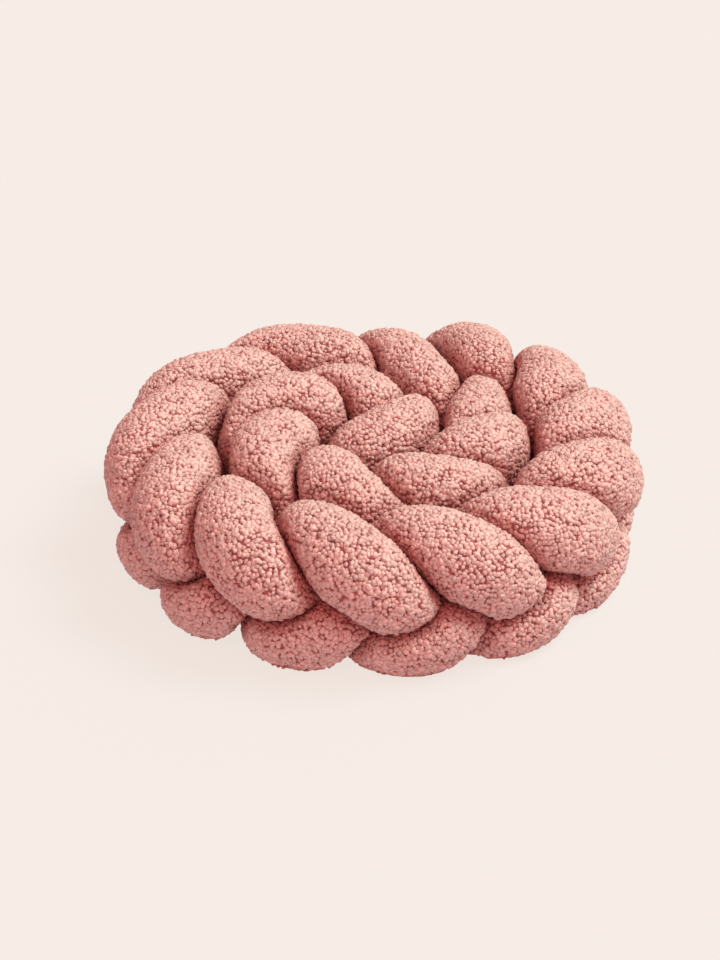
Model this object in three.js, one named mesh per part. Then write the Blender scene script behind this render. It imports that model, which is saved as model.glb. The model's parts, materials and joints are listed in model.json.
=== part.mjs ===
// Braided crib bumper: three stuffed cloth tubes plaited flat, stood on edge and coiled in two turns.
// Millimetres, +Z up. The origin is on the floor, under the middle of the coil.
import * as THREE from 'three';

// Driving dimensions of the tubes
const TUBE_DIAMETER = 71; // a stuffed tube lying free; plaited, it keeps the girth that this gives it
const SLIMMEST_RADIUS = 20; // limits for the swell of a tube between its neighbours
const FULLEST_RADIUS = 48;
const FULLNESS_LENGTH = 40; // the filling evens out the swell over this length
const END_LENGTH = 35; // each end closes in a rounded nose of this length

// Driving dimensions of the plait
const CLIMB = 35.5; // how far a tube rises and dips about the middle of the wall
const WEAVE = 14; // how far a tube swings in and out through the wall
const OVERLAP = 3; // how far the falling runs lie outside the rising ones
const WALL_MIDDLE = 67; // height of the middle of the wall
const END_GATHER = 1.2; // the climb dies away over this many lobes towards each end
const END_CLIMB = 0.6; // share of the climb that is left at the very end

// How the tubes press on each other
const TUBE_GAP = 3; // space left between pressed faces
const OVERLYING = 0.24; // share by which a tube straight above another reaches past the halfway point
const CREASE_SHARPNESS = 6; // a higher power gives flatter pressed faces and sharper rims
const BEND_LENGTH = 60; // nearer than this along its own tube, only the bend limits the reach
const BEND_SHARE = 0.92; // share of the way to the middle of a bend that the inside may fill

// Fineness of the solids
const STATION_SPACING = 14; // along a tube
const SIDES = 14; // round a tube
const NOSE_STEPS = 4; // rings in a rounded nose
const SAMPLE_SPACING = 8; // between the neighbouring points that a tube is pressed by
const POINTS_PER_LOBE = 24; // of the line that a tube follows
const MEASURES_PER_POINT = 4; // steps that measure the line between two of its points
const GIRTH_STEPS = 24; // halvings in the search for a tube's swell

// The coil, a row for each lobe of the top edge from the middle outwards, counted from FIRST_LOBE:
// its angle in degrees round the coil, its radius, and its lift above the even height of the wall
const FIRST_LOBE = -1;
const LOBES = [
  { angle: 20, radius: -35, lift: -1 },
  { angle: 28, radius: 14, lift: 1 },
  { angle: 97, radius: 84, lift: -4 },
  { angle: 147, radius: 103, lift: 7 },
  { angle: 197, radius: 106, lift: 6 },
  { angle: 250, radius: 101, lift: 0 },
  { angle: 300, radius: 105, lift: -3 },
  { angle: 347, radius: 109, lift: 1 },
  { angle: 387, radius: 122, lift: -9 },
  { angle: 433, radius: 156, lift: -4 },
  { angle: 469, radius: 193, lift: 2 },
  { angle: 502, radius: 203, lift: 1 },
  { angle: 532, radius: 203, lift: 7 },
  { angle: 564, radius: 201, lift: 0 },
  { angle: 590, radius: 199, lift: 1 },
  { angle: 619, radius: 194, lift: 0 },
  { angle: 648, radius: 195, lift: -3 },
  { angle: 674, radius: 202, lift: -4 },
  { angle: 701, radius: 204, lift: -3 },
  { angle: 725, radius: 204, lift: 1 },
  { angle: 750, radius: 209, lift: 1 },
  { angle: 778, radius: 209, lift: 1 },
  { angle: 797, radius: 210, lift: -5 },
];

// The tubes: the first lobe that each makes on the top edge, and the lobe counts where it starts and ends
const STRANDS = [
  { name: 'strand_1', crown: 0, start: -0.7, end: 20.7 },
  { name: 'strand_2', crown: 1, start: 0, end: 20.8 },
  { name: 'strand_3', crown: 2, start: 0.2, end: 21 },
];

const BOUCLE_PINK = 0xc98a80;

// Angle, radius and lift of the wall as smooth functions of the lobe count
const coil = new THREE.CatmullRomCurve3(
  LOBES.map((row) => new THREE.Vector3(row.angle, row.radius, row.lift)),
  false,
  'catmullrom',
);

function plaitPoint(strand, lobe) {
  const { x: angle, y: radius, z: lift } = coil.getPoint((lobe - FIRST_LOBE) / (LOBES.length - 1));
  const swing = (2 * Math.PI * (lobe - strand.crown)) / STRANDS.length;
  const fromEnd = Math.min(lobe - strand.start, strand.end - lobe);
  const share = THREE.MathUtils.lerp(END_CLIMB, 1, THREE.MathUtils.smoothstep(fromEnd, 0, END_GATHER));
  const height = WALL_MIDDLE + lift + CLIMB * share * Math.cos(swing);
  const out = radius + WEAVE * Math.sin(2 * swing) + OVERLAP * Math.sin(swing);
  const turn = THREE.MathUtils.degToRad(angle);
  return new THREE.Vector3(out * Math.cos(turn), out * Math.sin(turn), height);
}

// The line that a tube follows, measured by length
function centreline(strand) {
  const count = Math.ceil((strand.end - strand.start) * POINTS_PER_LOBE);
  const points = Array.from({ length: count + 1 }, (_, i) =>
    plaitPoint(strand, THREE.MathUtils.lerp(strand.start, strand.end, i / count)),
  );
  const line = new THREE.CatmullRomCurve3(points);
  line.arcLengthDivisions = count * MEASURES_PER_POINT;
  return line;
}

// Distances along a tube of its rings: close together in the rounded noses, then even
function ringPlaces(length) {
  const nose = Array.from({ length: NOSE_STEPS }, (_, i) =>
    END_LENGTH * (1 - Math.cos((i / NOSE_STEPS) * (Math.PI / 2))),
  );
  const body = length - 2 * END_LENGTH;
  const count = Math.round(body / STATION_SPACING);
  const even = Array.from({ length: count + 1 }, (_, i) => END_LENGTH + (body * i) / count);
  return [...nose, ...even, ...nose.map((place) => length - place).reverse()];
}

// Rings of a tube: its middle point and the directions round it, carried along without twist
function ringFrames(line) {
  const length = line.getLength();
  const across = new THREE.Vector3(0, 0, 1);
  return ringPlaces(length).map((along) => {
    const centre = line.getPointAt(along / length);
    const ahead = line.getTangentAt(along / length);
    across.addScaledVector(ahead, -across.dot(ahead)).normalize();
    const beside = new THREE.Vector3().crossVectors(ahead, across);
    const rays = Array.from({ length: SIDES }, (_, i) => {
      const turn = (2 * Math.PI * i) / SIDES;
      return across.clone().multiplyScalar(Math.cos(turn)).addScaledVector(beside, Math.sin(turn));
    });
    return { along, fromEnd: Math.min(along, length - along), centre, rays };
  });
}

// How far a ray from a ring reaches before it meets another tube or the inside of its own bend
function pressedReach(strand, ring, ray, samples) {
  const away = new THREE.Vector3();
  let reach = Infinity;
  for (const sample of samples) {
    away.subVectors(sample.point, ring.centre);
    const apart = sample.strand === strand ? Math.abs(sample.along - ring.along) : Infinity;
    if (apart < SAMPLE_SPACING) continue;
    const inBend = apart < BEND_LENGTH;
    const gap = inBend ? 0 : TUBE_GAP;
    const share = inBend ? BEND_SHARE : 1 - (OVERLYING * away.z) / away.length();
    const facing = ray.dot(away) + gap;
    const room = away.lengthSq() - gap * gap;
    if (facing > 0 && room > 0) reach = Math.min(reach, (share * room) / (2 * facing));
  }
  return reach;
}

// Outline of a ring for one swell: pressed faces blend into the free round, and the floor cuts it flat
function outline(ring, swell) {
  return ring.rays.map((ray, i) => {
    const pressed = ring.reach[i] ** -CREASE_SHARPNESS + swell ** -CREASE_SHARPNESS;
    const toFloor = ray.z < 0 ? ring.centre.z / -ray.z : Infinity;
    return ring.centre.clone().addScaledVector(ray, Math.min(pressed ** (-1 / CREASE_SHARPNESS), toFloor));
  });
}

function girth(points) {
  return points.reduce((sum, point, i) => sum + point.distanceTo(points[(i + 1) % points.length]), 0);
}

// The swell that gives a ring the tube's girth
function swellFor(ring) {
  let low = SLIMMEST_RADIUS;
  let high = FULLEST_RADIUS;
  for (let step = 0; step < GIRTH_STEPS; step += 1) {
    const middle = (low + high) / 2;
    if (girth(outline(ring, middle)) < Math.PI * TUBE_DIAMETER) low = middle;
    else high = middle;
  }
  return (low + high) / 2;
}

// The swell evened out along the tube, and drawn in to nothing at the tip of each nose
function settledSwell(rings, ring) {
  let weight = 0;
  let total = 0;
  for (const other of rings) {
    const apart = Math.abs(other.along - ring.along);
    if (apart < FULLNESS_LENGTH) {
      const share = 1 + Math.cos((Math.PI * apart) / FULLNESS_LENGTH);
      weight += share;
      total += share * other.swell;
    }
  }
  const drawnIn = Math.max(0, 1 - ring.fromEnd / END_LENGTH);
  return (total / weight) * Math.sqrt(1 - drawnIn * drawnIn);
}

// One closed skin over the rings, with a single point at each tip
function skin(rings, outlines) {
  const inner = outlines.slice(1, -1);
  const points = [rings[0].centre, ...inner.flat(), rings.at(-1).centre];
  const tip = points.length - 1;
  const triangles = [];
  for (let side = 0; side < SIDES; side += 1) {
    const next = (side + 1) % SIDES;
    triangles.push(0, 1 + next, 1 + side);
    for (let row = 0; row < inner.length - 1; row += 1) {
      const here = 1 + row * SIDES;
      const beyond = here + SIDES;
      triangles.push(here + side, here + next, beyond + next);
      triangles.push(here + side, beyond + next, beyond + side);
    }
    const last = 1 + (inner.length - 1) * SIDES;
    triangles.push(last + side, last + next, tip);
  }
  const geometry = new THREE.BufferGeometry().setFromPoints(points);
  geometry.setIndex(triangles);
  geometry.computeVertexNormals();
  return geometry;
}

// A stuffed tube, swollen to its girth between the tubes that press on it
function stuffedTube(strand, line, samples) {
  const rings = ringFrames(line);
  for (const ring of rings) {
    ring.reach = ring.rays.map((ray) => pressedReach(strand, ring, ray, samples));
    ring.swell = swellFor(ring);
  }
  return skin(rings, rings.map((ring) => outline(ring, settledSwell(rings, ring))));
}

const lines = STRANDS.map(centreline);
const samples = STRANDS.flatMap((strand, i) => {
  const count = Math.round(lines[i].getLength() / SAMPLE_SPACING);
  const spacing = lines[i].getLength() / count;
  return lines[i].getSpacedPoints(count).map((point, step) => ({ strand, point, along: step * spacing }));
});

const bumper = new THREE.Group();
STRANDS.forEach((strand, i) => {
  const boucle = new THREE.MeshStandardMaterial({ color: BOUCLE_PINK, roughness: 0.95, metalness: 0 });
  const tube = new THREE.Mesh(stuffedTube(strand, lines[i], samples), boucle);
  tube.name = strand.name;
  bumper.add(tube);
});

// The box's middle goes over the origin
const middle = new THREE.Box3().setFromObject(bumper).getCenter(new THREE.Vector3());
bumper.position.set(-middle.x, -middle.y, 0);

export default bumper;
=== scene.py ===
"""Braided crib bumper: three stuffed boucle tubes, plaited flat, stood on edge and coiled in two turns."""

import json
import math
from collections import namedtuple

import bpy
import numpy as np
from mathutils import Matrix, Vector
from mathutils.bvhtree import BVHTree

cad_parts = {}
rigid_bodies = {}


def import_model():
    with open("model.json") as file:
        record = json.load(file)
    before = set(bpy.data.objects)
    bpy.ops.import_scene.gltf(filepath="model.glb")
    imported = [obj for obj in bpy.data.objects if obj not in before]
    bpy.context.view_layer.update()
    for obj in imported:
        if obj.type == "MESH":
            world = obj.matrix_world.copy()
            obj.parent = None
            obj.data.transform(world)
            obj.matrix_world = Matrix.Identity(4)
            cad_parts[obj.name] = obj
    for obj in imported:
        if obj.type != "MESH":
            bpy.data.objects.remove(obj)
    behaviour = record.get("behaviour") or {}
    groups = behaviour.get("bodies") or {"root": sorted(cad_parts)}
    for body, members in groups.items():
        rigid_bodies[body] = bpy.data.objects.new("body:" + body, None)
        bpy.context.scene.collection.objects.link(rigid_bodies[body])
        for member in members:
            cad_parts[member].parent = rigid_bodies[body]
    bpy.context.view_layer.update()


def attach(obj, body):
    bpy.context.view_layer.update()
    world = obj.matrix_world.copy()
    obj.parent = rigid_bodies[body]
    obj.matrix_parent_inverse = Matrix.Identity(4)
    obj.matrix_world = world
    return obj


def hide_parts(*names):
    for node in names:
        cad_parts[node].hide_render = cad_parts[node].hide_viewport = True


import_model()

bl_info = {
    "name": "Braided Crib Bumper",
    "version": (1, 0, 0),
    "blender": (4, 5, 0),
    "location": "View3D > Sidebar > Bumper",
    "description": "Makes a coiled, braided crib bumper of curly boucle and a plain studio round it",
    "category": "Object",
}

MM = 0.001

# The coil, a row for each lobe of the top edge from the middle outwards, counted from FIRST_LOBE
FIRST_LOBE = -1
Lobe = namedtuple("Lobe", "angle radius lift")
LOBES = (
    Lobe(20, -0.035, -0.001),
    Lobe(28, 0.014, 0.001),
    Lobe(97, 0.084, -0.004),
    Lobe(147, 0.103, 0.007),
    Lobe(197, 0.106, 0.006),
    Lobe(250, 0.101, 0.000),
    Lobe(300, 0.105, -0.003),
    Lobe(347, 0.109, 0.001),
    Lobe(387, 0.122, -0.009),
    Lobe(433, 0.156, -0.004),
    Lobe(469, 0.193, 0.002),
    Lobe(502, 0.203, 0.001),
    Lobe(532, 0.203, 0.007),
    Lobe(564, 0.201, 0.000),
    Lobe(590, 0.199, 0.001),
    Lobe(619, 0.194, 0.000),
    Lobe(648, 0.195, -0.003),
    Lobe(674, 0.202, -0.004),
    Lobe(701, 0.204, -0.003),
    Lobe(725, 0.204, 0.001),
    Lobe(750, 0.209, 0.001),
    Lobe(778, 0.209, 0.001),
    Lobe(797, 0.210, -0.005),
)

# The tubes: the first lobe that each makes on the top edge, and the lobe counts where it starts and ends
Strand = namedtuple("Strand", "name crown start end")
STRANDS = (
    Strand("strand_1", 0, -0.7, 20.7),
    Strand("strand_2", 1, 0.0, 20.8),
    Strand("strand_3", 2, 0.2, 21.0),
)

# Each strand carries its curls in two pieces, those of the inner turn and those of the outer one
TURNS = ("inner", "outer")
TURN_LOBE = 9.5

# How a stuffed tube swells between its neighbours
SLIMMEST_RADIUS = 0.020
FULLEST_RADIUS = 0.048
FULLNESS_LENGTH = 0.040
END_LENGTH = 0.035
END_GATHER = 1.2
END_CLIMB = 0.6
CREASE_SHARPNESS = 4
BEND_LENGTH = 0.060
BEND_SHARE = 0.92
OVERLYING = 0.24
GIRTH_STEPS = 24

# Fineness of the skins
STATION_SPACING = 0.007
NOSE_STEPS = 7
SIDES = 44
SAMPLE_SPACING = 0.008
POINTS_PER_LOBE = 160
STATIONS_AT_ONCE = 48

# A length beyond all others, and one too small to divide by
FAR = 1e3
TINY = 1e-9

# The seed of all chance
SEED = 7


def linear(hex_colour):
    """Linear red, green, blue and alpha of an sRGB hex colour."""
    parts = [int(hex_colour[i:i + 2], 16) / 255 for i in (1, 3, 5)]
    return (*[p / 12.92 if p <= 0.04045 else ((p + 0.055) / 1.055) ** 2.4 for p in parts], 1.0)


class BumperSizes(bpy.types.PropertyGroup):
    """Sizes of the plait and of its cloth."""

    tube_diameter: bpy.props.FloatProperty(
        name="Tube", description="Diameter of a stuffed tube lying free", default=0.071, unit="LENGTH")
    climb: bpy.props.FloatProperty(
        name="Climb", description="How far a tube rises and dips in the wall", default=0.0355, unit="LENGTH")
    overlap: bpy.props.FloatProperty(
        name="Overlap", description="How far the falling runs lie outside the rising ones", default=0.003,
        unit="LENGTH")
    weave: bpy.props.FloatProperty(
        name="Weave", description="How far a tube swings in and out", default=0.014, unit="LENGTH")
    wall_middle: bpy.props.FloatProperty(
        name="Wall middle", description="Height of the middle of the wall", default=0.067, unit="LENGTH")
    gap: bpy.props.FloatProperty(
        name="Gap", description="Space between pressed faces", default=0.001, unit="LENGTH")
    pile: bpy.props.FloatProperty(
        name="Pile", description="Depth of the curls over the backing cloth", default=0.0024, unit="LENGTH")
    curl_spacing: bpy.props.FloatProperty(
        name="Curl spacing", description="Least distance between curls", default=0.00304, unit="LENGTH")
    curl_radius: bpy.props.FloatProperty(
        name="Curl radius", description="Mean radius of a curl at its foot", default=0.0036, unit="LENGTH")


class BumperColours(bpy.types.PropertyGroup):
    """Colours of the cloth and of the studio."""

    # The curls' colours are painted light and shade: pale tips are a painted highlight, darker sides and
    # roots are painted shade
    tip: bpy.props.FloatVectorProperty(
        name="Curl tips", description="Lit tops of the curls", subtype="COLOR", size=4,
        default=linear("#E2CAC2"))
    loop: bpy.props.FloatVectorProperty(
        name="Curl sides", description="Sides of the curls", subtype="COLOR", size=4,
        default=linear("#CEA7A3"))
    # The root colour is painted shade in the deep parts of the curls, and also the backing cloth's deep rose
    root: bpy.props.FloatVectorProperty(
        name="Curl roots", description="Deep parts of the curls, and the backing", subtype="COLOR", size=4,
        default=linear("#BE7E7C"))
    # Painted shade: a rosier, darker tint laid over the cloth in the creases between lobes
    crease_shade: bpy.props.FloatVectorProperty(
        name="Flanks", description="Tint of the pile pressed into the creases", subtype="COLOR", size=4,
        default=linear("#DEA4A4"))
    floor: bpy.props.FloatVectorProperty(
        name="Floor", description="Paper of the floor, besides its own light", subtype="COLOR", size=4,
        default=linear("#50565A"))


def through_lobes(column, lobe):
    """One column of the lobe table as a smooth curve of the lobe count."""
    values = np.array([getattr(row, column) for row in LOBES], float)
    slope = np.gradient(values)
    at = np.clip(np.asarray(lobe) - FIRST_LOBE, 0, len(values) - 1)
    row = np.minimum(at.astype(int), len(values) - 2)
    t = at - row
    rise = t * t * (3 - 2 * t)
    return (values[row] * (1 - rise) + values[row + 1] * rise
            + t * (1 - t) * ((1 - t) * slope[row] - t * slope[row + 1]))


def plait_line(strand, sizes):
    """Points close together along the middle of a tube, their distances along it and their lobe counts."""
    lobe = np.linspace(strand.start, strand.end, int((strand.end - strand.start) * POINTS_PER_LOBE))
    swing = 2 * np.pi * (lobe - strand.crown) / len(STRANDS)
    from_end = np.clip(np.minimum(lobe - strand.start, strand.end - lobe) / END_GATHER, 0, 1)
    share = END_CLIMB + (1 - END_CLIMB) * from_end ** 2 * (3 - 2 * from_end)
    height = sizes.wall_middle + through_lobes("lift", lobe) + sizes.climb * share * np.cos(swing)
    out = through_lobes("radius", lobe) + sizes.weave * np.sin(2 * swing) + sizes.overlap * np.sin(swing)
    turn = np.radians(through_lobes("angle", lobe))
    points = np.stack([out * np.cos(turn), out * np.sin(turn), height], axis=1)
    along = np.concatenate([[0], np.cumsum(np.linalg.norm(np.diff(points, axis=0), axis=1))])
    return points, along, lobe


def even_places(start, end, spacing):
    """Distances along a line, as near as can be to the spacing."""
    return np.linspace(start, end, round((end - start) / spacing) + 1)


def ring_places(length):
    """Distances along a tube of its rings: close together in the rounded noses, then even."""
    nose = END_LENGTH * (1 - np.cos(np.arange(NOSE_STEPS) / NOSE_STEPS * np.pi / 2))
    body = even_places(END_LENGTH, length - END_LENGTH, STATION_SPACING)
    return np.concatenate([nose, body, length - nose[::-1]])


def placed(line, at):
    """The line at some distances along it: points, distances and lobe counts."""
    points, along, lobe = line
    centres = np.stack([np.interp(at, along, axis) for axis in points.T], axis=1)
    return centres, at, np.interp(at, along, lobe)


def carried_rays(centres):
    """Directions round each station, carried along the line without twist."""
    ahead = np.gradient(centres, axis=0)
    ahead /= np.linalg.norm(ahead, axis=1, keepdims=True)
    across = np.zeros_like(centres)
    carried = np.array([0.0, 0.0, 1.0])
    for i, direction in enumerate(ahead):
        carried = carried - carried.dot(direction) * direction
        carried /= np.linalg.norm(carried)
        across[i] = carried
    beside = np.cross(ahead, across)
    turn = np.arange(SIDES) * 2 * np.pi / SIDES
    return across[:, None] * np.cos(turn)[None, :, None] + beside[:, None] * np.sin(turn)[None, :, None]


def pressed_reach(centres, along, rays, own, samples, gap):
    """How far each ray goes before it comes nearer to another tube than to its own line."""
    reach = np.full(rays.shape[:2], FAR)
    for first in range(0, len(centres), STATIONS_AT_ONCE):
        part = slice(first, first + STATIONS_AT_ONCE)
        for strand, (points, places, _) in samples.items():
            away = points[None] - centres[part][:, None]
            above = -away[..., 2] / np.maximum(np.linalg.norm(away, axis=2), TINY)
            apart = np.abs(places[None] - along[part][:, None])
            in_bend = (apart < BEND_LENGTH) & (strand == own)
            left = np.where(in_bend, 0.0, gap)
            share = np.where(in_bend, BEND_SHARE, 1 + OVERLYING * above)
            share = np.where((apart < SAMPLE_SPACING) & (strand == own), FAR, share)
            room = share * np.maximum((away ** 2).sum(axis=2) - left ** 2, TINY)
            facing = np.einsum("skd,smd->skm", rays[part], away) + left[:, None]
            free = np.where(facing > TINY, room[:, None] / (2 * np.maximum(facing, TINY)), FAR)
            reach[part] = np.minimum(reach[part], free.min(axis=2))
    return reach


def blended(reach, swell):
    """Pressed faces run smoothly into the free round of a tube."""
    return (reach ** -CREASE_SHARPNESS + swell[:, None] ** -CREASE_SHARPNESS) ** (-1 / CREASE_SHARPNESS)


def settled_swell(reach, to_floor, along, girth):
    """The swell at each station that gives the tube its girth, evened along it and drawn in at its ends."""
    turn = np.arange(SIDES) * 2 * np.pi / SIDES
    low = np.full(len(along), SLIMMEST_RADIUS)
    high = np.full(len(along), FULLEST_RADIUS)
    for _ in range(GIRTH_STEPS):
        middle = (low + high) / 2
        out = np.minimum(blended(reach, middle), to_floor)
        corners = out * np.exp(1j * turn)
        round_it = np.abs(np.roll(corners, -1, axis=1) - corners).sum(axis=1)
        low = np.where(round_it < girth, middle, low)
        high = np.where(round_it < girth, high, middle)
    apart = np.abs(along[:, None] - along[None])
    weight = np.where(apart < FULLNESS_LENGTH, 1 + np.cos(np.pi * apart / FULLNESS_LENGTH), 0)
    even = (weight * ((low + high) / 2)).sum(axis=1) / weight.sum(axis=1)
    drawn_in = np.clip(1 - np.minimum(along, along[-1] - along) / END_LENGTH, 0, 1)
    return even * np.sqrt(np.maximum(1 - drawn_in ** 2, TINY))


def smooth_step(low, high, value):
    """0 below the low limit, 1 above the high one, and an even curve between."""
    t = np.clip((value - low) / (high - low), 0, 1)
    return t * t * (3 - 2 * t)


Tube = namedtuple("Tube", "centres rays out space lobe")

# Air over the cloth at which curls begin, stand thick and reach their full size, and the size of the smallest
OPEN_FROM, OPEN_TO = 0.0030, 0.0055
ROOM_TO = 0.010
TIGHT_CURL = 0.65
# Space up to a neighbour's share of the room at which the painted shade of the creases ends on the side of a
# lobe
CREASE_SHADE_TO = 0.022
# Height over the cloth from which the air is measured, and the longest measure
AIR_FROM = 0.0004
AIR_LIMIT = 0.050
# Share of a tube's reach that is always left to its backing
LEAST_BACKING = 0.5


def stuffed_tubes(sizes):
    """Every strand's stations and rays, how far its cloth stands out along them, and the space beyond it."""
    lines = {strand.name: plait_line(strand, sizes) for strand in STRANDS}
    lengths = {name: along[-1] for name, (_, along, _) in lines.items()}
    steps = {name: even_places(0, length, SAMPLE_SPACING) for name, length in lengths.items()}
    samples = {name: placed(line, steps[name]) for name, line in lines.items()}
    tubes = {}
    for name, line in lines.items():
        centres, along, lobe = placed(line, ring_places(lengths[name]))
        rays = carried_rays(centres)
        reach = pressed_reach(centres, along, rays, name, samples, sizes.gap)
        down = np.maximum(-rays[..., 2], TINY)
        to_floor = np.where(rays[..., 2] < 0, centres[:, None, 2] / down, FAR)
        swell = settled_swell(reach, to_floor, along, math.pi * sizes.tube_diameter)
        free = blended(reach, swell)
        space = np.minimum(reach, to_floor) - free
        tubes[name] = Tube(centres, rays, np.minimum(free, to_floor), space, lobe)
    return tubes


def box_shift(tubes):
    """How far the coil moves so that the middle of its box is over the frame's origin."""
    skins = [tube.centres[:, None] + tube.out[..., None] * tube.rays for tube in tubes.values()]
    points = np.concatenate([skin.reshape(-1, 3) for skin in skins])
    middle = (points.min(axis=0) + points.max(axis=0)) / 2
    return np.array([-middle[0], -middle[1], 0.0])


def closed_skin(tube, out):
    """Points and faces of a skin over a tube's rings, with a single point at each tip."""
    rings = tube.centres[:, None] + out[..., None] * tube.rays
    points = np.concatenate([tube.centres[:1], rings[1:-1].reshape(-1, 3), tube.centres[-1:]])
    rows = len(rings) - 2
    tip = len(points) - 1
    side = np.arange(SIDES)
    following = (side + 1) % SIDES
    here = 1 + np.arange(rows - 1)[:, None] * SIDES
    beyond = here + SIDES
    quads = np.stack([here + side, here + following, beyond + following, beyond + side], axis=2)
    last = 1 + (rows - 1) * SIDES
    faces = [(0, 1 + b, 1 + a) for a, b in zip(side.tolist(), following.tolist())]
    faces += quads.reshape(-1, 4).tolist()
    faces += [(last + a, last + b, tip) for a, b in zip(side.tolist(), following.tolist())]
    return points, faces


def open_air(tubes):
    """How far each strand's rays go on from its cloth before they meet cloth again or the floor."""
    cloths = []
    for tube in tubes.values():
        points, faces = closed_skin(tube, tube.out)
        cloths.append(BVHTree.FromPolygons(points.tolist(), faces))
    air = {}
    for name, tube in tubes.items():
        starts = tube.centres[:, None] + (tube.out + AIR_FROM)[..., None] * tube.rays
        down = np.maximum(-tube.rays[..., 2], TINY)
        free = np.where(tube.rays[..., 2] < 0, np.maximum(starts[..., 2], 0) / down, AIR_LIMIT)
        for index in np.ndindex(free.shape):
            for cloth in cloths:
                hit = cloth.ray_cast(Vector(starts[index]), Vector(tube.rays[index]), AIR_LIMIT)[3]
                free[index] = min(free[index], AIR_LIMIT if hit is None else hit)
        air[name] = free
    return air


def skin_mesh(name, tube, air, sizes, shift):
    """The backing cloth of one tube: a closed skin, a pile's depth inside the tips of its curls."""
    cover = smooth_step(OPEN_FROM, OPEN_TO, air)
    points, faces = closed_skin(tube, np.maximum(tube.out - sizes.pile * cover, tube.out * LEAST_BACKING))
    mesh = bpy.data.meshes.new(name)
    mesh.from_pydata((points + shift).tolist(), [], faces)
    mesh.shade_smooth()
    inside = (tube.lobe < TURN_LOBE)[:, None]
    marks = {f"curls_{turn}": cover * (inside == (turn == TURNS[0])) for turn in TURNS}
    marks["room"] = TIGHT_CURL + (1 - TIGHT_CURL) * smooth_step(OPEN_FROM, ROOM_TO, air)
    # Painted shade: 1 in the creases, fading to 0 up the sides of the lobes
    marks["crease_shade"] = smooth_step(CREASE_SHADE_TO, 0.0, tube.space)
    for mark, rings in marks.items():
        values = np.concatenate([[rings[1].mean()], rings[1:-1].ravel(), [rings[-2].mean()]])
        mesh.attributes.new(mark, "FLOAT", "POINT").data.foreach_set("value", values)
    return mesh


def add_node(tree, kind, inputs=None, **settings):
    """Adds a node with its settings, and gives its inputs values or links from other nodes' outputs."""
    node = tree.nodes.new(kind)
    for key, value in settings.items():
        setattr(node, key, value)
    for key, value in (inputs or {}).items():
        if isinstance(value, bpy.types.NodeSocket):
            tree.links.new(value, node.inputs[key])
        else:
            node.inputs[key].default_value = value
    return node


def new_material(name):
    """An empty node material."""
    material = bpy.data.materials.new(name)
    material.use_nodes = True
    material.node_tree.nodes.clear()
    return material


# Sizes of the cloth's patterns: loops of yarn, waves that bend them, patches of dye, stitches and relief
LOOP_SIZE = 2.4 * MM
WAVE_SIZE = 3.8 * MM
WAVE_SHIFT = 3.0 * MM
PATCH_SIZE = 22 * MM
STITCH_SIZE = 2.0 * MM
YARN_RELIEF = 1.0 * MM


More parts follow.
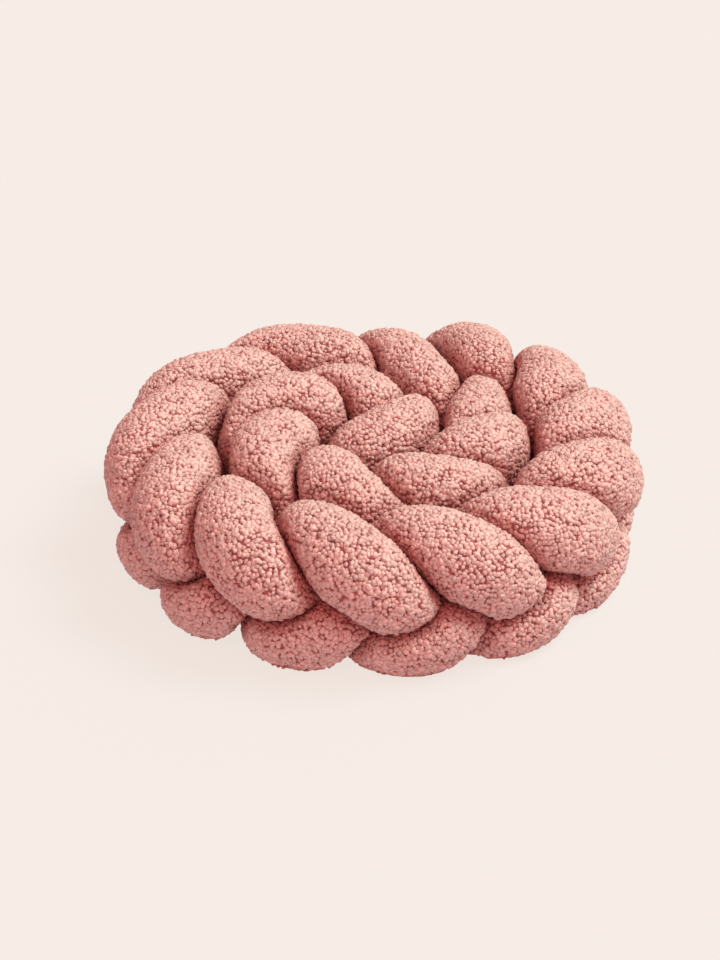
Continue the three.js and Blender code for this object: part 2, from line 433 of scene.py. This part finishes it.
def boucle_cloth(colours):
    """Curly polyester boucle: softly shining looped yarn, with a painted highlight on its tips and painted
    deep rose shade between loops and in the creases.
    """
    material = new_material("boucle_dusty_pink")
    tree = material.node_tree
    tip = add_node(tree, "ShaderNodeAttribute", attribute_name="tip")
    tone = add_node(tree, "ShaderNodeAttribute", attribute_name="tone")
    crease_shade = add_node(tree, "ShaderNodeAttribute", attribute_name="crease_shade")
    place = add_node(tree, "ShaderNodeTexCoord")
    # Loops of yarn, bent out of round by waves
    wave = add_node(tree, "ShaderNodeTexNoise", {
        "Vector": place.outputs["Object"], "Scale": 1 / WAVE_SIZE, "Detail": 2.0})
    bend = add_node(tree, "ShaderNodeVectorMath", {
        0: wave.outputs["Color"], 1: (WAVE_SHIFT,) * 3, 2: place.outputs["Object"]}, operation="MULTIPLY_ADD")
    loops = add_node(tree, "ShaderNodeTexVoronoi", {
        "Vector": bend.outputs[0], "Scale": 1 / LOOP_SIZE}, feature="F1")
    groove = add_node(tree, "ShaderNodeMapRange", {
        "Value": loops.outputs["Distance"], "From Min": 0.15, "From Max": 0.75, "To Min": 1.0, "To Max": 0.0})
    # Colour by height on the curl and on its loops, as painted light and shade: roots and grooves darker as
    # painted shade, sides between, and tips paler as a painted highlight
    height = add_node(tree, "ShaderNodeMapRange", {
        "Value": tip.outputs["Fac"], "From Min": 0.35, "From Max": 1.0, "To Min": 0.0, "To Max": 0.75})
    lit = add_node(tree, "ShaderNodeMath", {
        0: groove.outputs[0], 1: 0.3, 2: height.outputs[0]}, operation="MULTIPLY_ADD")
    deep = add_node(tree, "ShaderNodeMapRange", {"Value": lit.outputs[0], "From Max": 0.55})
    high = add_node(tree, "ShaderNodeMapRange", {"Value": lit.outputs[0], "From Min": 0.6})
    body = add_node(tree, "ShaderNodeMix", {
        0: deep.outputs[0], 6: colours.root, 7: colours.loop}, data_type="RGBA")
    colour = add_node(tree, "ShaderNodeMix", {
        0: high.outputs[0], 6: body.outputs[2], 7: colours.tip}, data_type="RGBA")
    # Tone by chance for each curl, and by patches where the dye took more or less
    patch = add_node(tree, "ShaderNodeTexNoise", {
        "Vector": place.outputs["Object"], "Scale": 1 / PATCH_SIZE, "Detail": 2.0})
    spread = add_node(tree, "ShaderNodeMath", {0: tone.outputs["Fac"], 1: patch.outputs[0]}, operation="ADD")
    value = add_node(tree, "ShaderNodeMapRange", {
        "Value": spread.outputs[0], "From Min": 0.3, "From Max": 1.7, "To Min": 0.82, "To Max": 1.18})
    toned = add_node(tree, "ShaderNodeHueSaturation", {"Color": colour.outputs[2], "Value": value.outputs[0]})
    # Painted shade: a rosier, darker tint in the creases between lobes
    crease_shaded = add_node(tree, "ShaderNodeMix", {
        0: crease_shade.outputs["Fac"], 6: toned.outputs[0], 7: colours.crease_shade},
        data_type="RGBA", blend_type="MULTIPLY")
    bump = add_node(tree, "ShaderNodeBump", {
        "Height": groove.outputs[0], "Strength": 0.45, "Distance": YARN_RELIEF})
    shader = add_node(tree, "ShaderNodeBsdfPrincipled", {
        "Base Color": crease_shaded.outputs[2], "Roughness": 0.5, "Specular IOR Level": 0.8, "IOR": 1.45,
        "Sheen Weight": 0.16, "Sheen Roughness": 0.3, "Sheen Tint": linear("#FFE0D2"),
        "Normal": bump.outputs[0]})
    add_node(tree, "ShaderNodeOutputMaterial", {"Surface": shader.outputs[0]})
    return material


def backing_cloth(colours):
    """Knitted polyester ground under the curls, seen only between them: matt, with a knit pattern in deep
    rose, the same painted shade as the curls' roots.
    """
    material = new_material("knit_backing_rose")
    tree = material.node_tree
    place = add_node(tree, "ShaderNodeTexCoord")
    knit = add_node(tree, "ShaderNodeTexNoise", {
        "Vector": place.outputs["Object"], "Scale": 1 / STITCH_SIZE, "Detail": 3.0})
    colour = add_node(tree, "ShaderNodeMix", {
        0: knit.outputs[0], 6: colours.root, 7: linear("#B06C6A")}, data_type="RGBA")
    bump = add_node(tree, "ShaderNodeBump", {
        "Height": knit.outputs[0], "Strength": 0.8, "Distance": YARN_RELIEF})
    shader = add_node(tree, "ShaderNodeBsdfPrincipled", {
        "Base Color": colour.outputs[2], "Roughness": 0.95, "Specular IOR Level": 0.15, "IOR": 1.45,
        "Sheen Weight": 0.2, "Normal": bump.outputs[0]})
    add_node(tree, "ShaderNodeOutputMaterial", {"Surface": shader.outputs[0]})
    return material


# A curl is a small pebble with a foot of radius 1, narrower at its top and sunk a little in the cloth
CURL_SIDES = 5
CURL_TOP = 0.6
CURL_HEIGHT = 0.9
CURL_SUNK = 0.25
# Each curl leans, is stretched and grows by chance, between these limits, and is dented by lumps of this size
CURL_LEAN = 0.3
SLIMMEST_CURL = (0.90, 0.80, 0.90)
FULLEST_CURL = (1.35, 1.20, 1.20)
CURL_GROWTH = (0.75, 1.25)
LUMP_SIZE = 3.6 * MM
LUMP_SHIFT = 2.4 * MM
CURL_DENSITY = 400000.0
TREE_INPUTS = (
    ("Spacing", "NodeSocketFloat"),
    ("Radius", "NodeSocketFloat"),
    ("Seed", "NodeSocketInt"),
)


def curls_tree(turn, material):
    """Geometry nodes that strew lumpy curls over the open faces of a skin."""
    tree = bpy.data.node_groups.new(f"boucle_curls_{turn}", "GeometryNodeTree")
    tree.interface.new_socket("Skin", in_out="INPUT", socket_type="NodeSocketGeometry")
    for name, kind in TREE_INPUTS:
        tree.interface.new_socket(name, in_out="INPUT", socket_type=kind)
    tree.interface.new_socket("Curls", in_out="OUTPUT", socket_type="NodeSocketGeometry")
    given = add_node(tree, "NodeGroupInput").outputs
    # Places of the curls, on the open faces of this turn
    cover = add_node(tree, "GeometryNodeInputNamedAttribute", {"Name": f"curls_{turn}"}, data_type="FLOAT")
    points = add_node(tree, "GeometryNodeDistributePointsOnFaces", {
        "Mesh": given["Skin"], "Distance Min": given["Spacing"], "Density Max": CURL_DENSITY,
        "Density Factor": cover.outputs[0], "Seed": given["Seed"]}, distribute_method="POISSON")
    # One curl, marked by height from foot to tip
    pebble = add_node(tree, "GeometryNodeMeshCone", {
        "Vertices": CURL_SIDES, "Radius Top": CURL_TOP, "Radius Bottom": 1.0, "Depth": CURL_HEIGHT})
    place = add_node(tree, "GeometryNodeInputPosition")
    upright = add_node(tree, "ShaderNodeSeparateXYZ", {0: place.outputs[0]})
    tip = add_node(tree, "ShaderNodeMapRange", {"Value": upright.outputs[2], "From Max": CURL_HEIGHT})
    tipped = add_node(tree, "GeometryNodeStoreNamedAttribute", {
        "Geometry": pebble.outputs["Mesh"], "Name": "tip", "Value": tip.outputs[0]},
        data_type="FLOAT", domain="POINT")
    sunk = add_node(tree, "GeometryNodeSetPosition", {
        "Geometry": tipped.outputs[0], "Offset": (0.0, 0.0, -CURL_SUNK)})
    # Lean, form and size of each curl
    lean = add_node(tree, "FunctionNodeRandomValue", {
        0: (-CURL_LEAN, -CURL_LEAN, 0.0), 1: (CURL_LEAN, CURL_LEAN, 2 * math.pi), "Seed": SEED},
        data_type="FLOAT_VECTOR")
    turned = add_node(tree, "FunctionNodeEulerToRotation", {0: lean.outputs[0]})
    stance = add_node(tree, "FunctionNodeRotateRotation", {
        "Rotation": points.outputs["Rotation"], "Rotate By": turned.outputs[0]}, rotation_space="LOCAL")
    plump = add_node(tree, "FunctionNodeRandomValue", {
        0: SLIMMEST_CURL, 1: FULLEST_CURL, "Seed": SEED + 1}, data_type="FLOAT_VECTOR")
    room = add_node(tree, "GeometryNodeInputNamedAttribute", {"Name": "room"}, data_type="FLOAT")
    chance = add_node(tree, "FunctionNodeRandomValue", {2: 0.0, 3: 1.0, "Seed": SEED + 3}, data_type="FLOAT")
    growth = add_node(tree, "ShaderNodeMapRange", {
        "Value": chance.outputs[1], "To Min": CURL_GROWTH[0], "To Max": CURL_GROWTH[1]})
    bounds = add_node(tree, "ShaderNodeMath", {0: room.outputs[0], 1: given["Radius"]}, operation="MULTIPLY")
    size = add_node(tree, "ShaderNodeMath", {
        0: bounds.outputs[0], 1: growth.outputs[0]}, operation="MULTIPLY")
    scale = add_node(tree, "ShaderNodeVectorMath", {
        0: plump.outputs[0], "Scale": size.outputs[0]}, operation="SCALE")
    curls = add_node(tree, "GeometryNodeInstanceOnPoints", {
        "Points": points.outputs["Points"], "Instance": sunk.outputs[0], "Rotation": stance.outputs[0],
        "Scale": scale.outputs[0]})
    shade = add_node(tree, "FunctionNodeRandomValue", {2: 0.0, 3: 1.0, "Seed": SEED + 2}, data_type="FLOAT")
    toned = add_node(tree, "GeometryNodeStoreNamedAttribute", {
        "Geometry": curls.outputs[0], "Name": "tone", "Value": shade.outputs[1]},
        data_type="FLOAT", domain="INSTANCE")
    whole = add_node(tree, "GeometryNodeRealizeInstances", {0: toned.outputs[0]})
    # Lumps over all curls, which never reach under the floor
    lump = add_node(tree, "ShaderNodeTexNoise", {
        "Vector": place.outputs[0], "Scale": 1 / LUMP_SIZE, "Detail": 1.0})
    push = add_node(tree, "ShaderNodeVectorMath", {
        0: lump.outputs["Color"], 1: (0.5, 0.5, 0.5)}, operation="SUBTRACT")
    shove = add_node(tree, "ShaderNodeVectorMath", {
        0: push.outputs[0], "Scale": LUMP_SHIFT}, operation="SCALE")
    lumpy = add_node(tree, "GeometryNodeSetPosition", {
        "Geometry": whole.outputs[0], "Offset": shove.outputs[0]})
    spot = add_node(tree, "ShaderNodeSeparateXYZ", {0: place.outputs[0]})
    above = add_node(tree, "ShaderNodeMath", {0: spot.outputs[2], 1: 0.0}, operation="MAXIMUM")
    held = add_node(tree, "ShaderNodeCombineXYZ", {
        0: spot.outputs[0], 1: spot.outputs[1], 2: above.outputs[0]})
    resting = add_node(tree, "GeometryNodeSetPosition", {
        "Geometry": lumpy.outputs[0], "Position": held.outputs[0]})
    smooth = add_node(tree, "GeometryNodeSetShadeSmooth", {"Geometry": resting.outputs[0]})
    dressed = add_node(tree, "GeometryNodeSetMaterial", {"Geometry": smooth.outputs[0], "Material": material})
    add_node(tree, "NodeGroupOutput", {0: dressed.outputs[0]})
    return tree


def grown_curls(skin, turn, tree, values):
    """The curls of one turn of a strand as a plain mesh object."""
    carrier = bpy.data.objects.new("carrier", skin.data)
    bpy.context.collection.objects.link(carrier)
    modifier = carrier.modifiers.new("curls", "NODES")
    modifier.node_group = tree
    for item in tree.interface.items_tree:
        if item.in_out == "INPUT" and item.name in values:
            modifier[item.identifier] = values[item.name]
    depsgraph = bpy.context.evaluated_depsgraph_get()
    mesh = bpy.data.meshes.new_from_object(carrier.evaluated_get(depsgraph), depsgraph=depsgraph)
    bpy.data.objects.remove(carrier)
    mesh.name = f"{skin.name}_curls_{turn}"
    piece = bpy.data.objects.new(mesh.name, mesh)
    bpy.context.collection.objects.link(piece)
    return piece


class BUMPER_OT_strands(bpy.types.Operator):
    """Make the three stuffed tubes, plaited and coiled"""

    bl_idname = "bumper.strands"
    bl_label = "Strands"

    def execute(self, context):
        sizes = context.scene.bumper_sizes
        tubes = stuffed_tubes(sizes)
        air = open_air(tubes)
        shift = box_shift(tubes)
        backing = backing_cloth(context.scene.bumper_colours)
        for name, tube in tubes.items():
            mesh = skin_mesh(f"{name}_tube", tube, air[name], sizes, shift)
            skin = bpy.data.objects.new(mesh.name, mesh)
            skin.data.materials.append(backing)
            context.collection.objects.link(skin)
            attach(skin, "root")
            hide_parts(name)
        return {"FINISHED"}


class BUMPER_OT_curls(bpy.types.Operator):
    """Strew boucle curls over the open faces of the tubes"""

    bl_idname = "bumper.curls"
    bl_label = "Curls"

    def execute(self, context):
        sizes = context.scene.bumper_sizes
        cloth = boucle_cloth(context.scene.bumper_colours)
        trees = {turn: curls_tree(turn, cloth) for turn in TURNS}
        for number, strand in enumerate(STRANDS):
            skin = bpy.data.objects[f"{strand.name}_tube"]
            for turn in TURNS:
                values = {"Spacing": sizes.curl_spacing, "Radius": sizes.curl_radius, "Seed": SEED + number}
                piece = grown_curls(skin, turn, trees[turn], values)
                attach(piece, "root")
        return {"FINISHED"}


# The camera stands in front of the coil and looks down on it. A metre at its aim is this many pixels of a
# picture of this height
CAMERA_ELEVATION = 31.0
CAMERA_DISTANCE = 2.0
CAMERA_AIM = (-0.0134, 0.0010, 0.0692)
PIXELS_PER_METRE = 1000
PICTURE_HEIGHT = 960
SENSOR = 36.0


def add_camera(scene):
    """A camera at the photograph's viewing angle."""
    camera = bpy.data.objects.new("camera", bpy.data.cameras.new("camera"))
    scene.collection.objects.link(camera)
    tilt = math.radians(CAMERA_ELEVATION)
    back = Vector((0, -math.cos(tilt), math.sin(tilt)))
    camera.location = Vector(CAMERA_AIM) + back * CAMERA_DISTANCE
    camera.rotation_euler = (math.pi / 2 - tilt, 0, 0)
    camera.data.sensor_width = SENSOR
    camera.data.lens = SENSOR * CAMERA_DISTANCE * PIXELS_PER_METRE / PICTURE_HEIGHT
    scene.camera = camera


# Soft studio lights: the way to each from the object, its spread in degrees, its strength and its colour
Light = namedtuple("Light", "name towards spread strength colour")
LIGHTS = (
    Light("light_above", (0.7, 0.1, 1.0), 30, 2.86, "#F0FFF2"),
    Light("light_behind", (0.8, 0.8, 0.8), 60, 0.4, "#FFF8EC"),
    Light("light_front", (0.0, -1.0, 0.8), 90, 1.3, "#FFB4AE"),
)
LAMP_DISTANCE = 3.0
# The glow of the walls, the backdrop that the camera sees behind the floor, the floor's own faint light, and
# the rosier light that it sends to the cloth
GLOW_COLOUR, GLOW = "#FFB0AC", 0.47
BACKDROP_COLOUR = "#F8EDE7"
FLOOR_LIGHT_COLOUR, FLOOR_LIGHT = "#FFF5ED", 0.805
FLOOR_BOUNCE_COLOUR = "#E8C6C2"
FLOOR_REACH = 12.0


def add_soft_light(scene, light):
    """A broad, far studio light in one direction from the object, as even as a large softbox."""
    lamp = bpy.data.lights.new(light.name, "SUN")
    lamp.angle = math.radians(light.spread)
    lamp.energy = light.strength
    lamp.color = linear(light.colour)[:3]
    stand = bpy.data.objects.new(light.name, lamp)
    stand.location = Vector(light.towards) * LAMP_DISTANCE
    stand.rotation_euler = Vector(light.towards).to_track_quat("Z", "Y").to_euler()
    scene.collection.objects.link(stand)


def add_studio_walls(scene):
    """Rose light from all round, and for the camera a pale backdrop that goes on from the floor."""
    world = bpy.data.worlds.new("studio")
    world.use_nodes = True
    tree = world.node_tree
    tree.nodes.clear()
    glow = add_node(tree, "ShaderNodeBackground", {"Color": linear(GLOW_COLOUR), "Strength": GLOW})
    backdrop = add_node(tree, "ShaderNodeBackground", {"Color": linear(BACKDROP_COLOUR), "Strength": 1.0})
    seen = add_node(tree, "ShaderNodeLightPath")
    walls = add_node(tree, "ShaderNodeMixShader", {
        0: seen.outputs["Is Camera Ray"], 1: glow.outputs[0], 2: backdrop.outputs[0]})
    add_node(tree, "ShaderNodeOutputWorld", {"Surface": walls.outputs[0]})
    scene.world = world


def paper_floor(colours):
    """Matt paper with a faint light of its own, so that the object throws hardly any shadow on it."""
    material = new_material("matt_paper_floor")
    tree = material.node_tree
    path = add_node(tree, "ShaderNodeLightPath")
    light = add_node(tree, "ShaderNodeMix", {
        0: path.outputs["Is Camera Ray"], 6: linear(FLOOR_BOUNCE_COLOUR), 7: linear(FLOOR_LIGHT_COLOUR)},
        data_type="RGBA")
    shader = add_node(tree, "ShaderNodeBsdfPrincipled", {
        "Base Color": colours.floor, "Roughness": 0.9, "Specular IOR Level": 0.1,
        "Emission Color": light.outputs[2], "Emission Strength": FLOOR_LIGHT})
    add_node(tree, "ShaderNodeOutputMaterial", {"Surface": shader.outputs[0]})
    return material


def add_floor(scene):
    """A wide, level floor under the object."""
    mesh = bpy.data.meshes.new("floor")
    corners = [(x * FLOOR_REACH, y * FLOOR_REACH, 0.0) for x, y in ((-1, -1), (1, -1), (1, 1), (-1, 1))]
    mesh.from_pydata(corners, [], [(0, 1, 2, 3)])
    mesh.materials.append(paper_floor(scene.bumper_colours))
    floor = bpy.data.objects.new("floor", mesh)
    scene.collection.objects.link(floor)


class BUMPER_OT_stage(bpy.types.Operator):
    """Set a pale floor, soft studio light and the camera"""

    bl_idname = "bumper.stage"
    bl_label = "Stage"

    def execute(self, context):
        scene = context.scene
        add_camera(scene)
        for light in LIGHTS:
            add_soft_light(scene, light)
        add_studio_walls(scene)
        add_floor(scene)
        scene.view_settings.view_transform = "Standard"
        return {"FINISHED"}


class BUMPER_PT_panel(bpy.types.Panel):
    """Lists the steps that make the bumper"""

    bl_idname = "BUMPER_PT_panel"
    bl_label = "Braided Bumper"
    bl_space_type = "VIEW_3D"
    bl_region_type = "UI"
    bl_category = "Bumper"

    def draw(self, context):
        for group in (context.scene.bumper_sizes, context.scene.bumper_colours):
            for key in group.bl_rna.properties.keys():
                if key not in ("rna_type", "name"):
                    self.layout.prop(group, key)
        for operator in (BUMPER_OT_strands, BUMPER_OT_curls, BUMPER_OT_stage):
            self.layout.operator(operator.bl_idname)


CLASSES = (BumperSizes, BumperColours, BUMPER_OT_strands, BUMPER_OT_curls, BUMPER_OT_stage, BUMPER_PT_panel)


def register():
    """Makes the sizes, colours, steps and panel known to Blender."""
    for cls in CLASSES:
        bpy.utils.register_class(cls)
    bpy.types.Scene.bumper_sizes = bpy.props.PointerProperty(type=BumperSizes)
    bpy.types.Scene.bumper_colours = bpy.props.PointerProperty(type=BumperColours)


def unregister():
    """Takes away what register added."""
    del bpy.types.Scene.bumper_colours
    del bpy.types.Scene.bumper_sizes
    for cls in reversed(CLASSES):
        bpy.utils.unregister_class(cls)


def main():
    """Makes the bumper and its studio."""
    register()
    bpy.ops.bumper.strands()
    bpy.ops.bumper.curls()
    bpy.ops.bumper.stage()


if __name__ == "__main__":
    main()
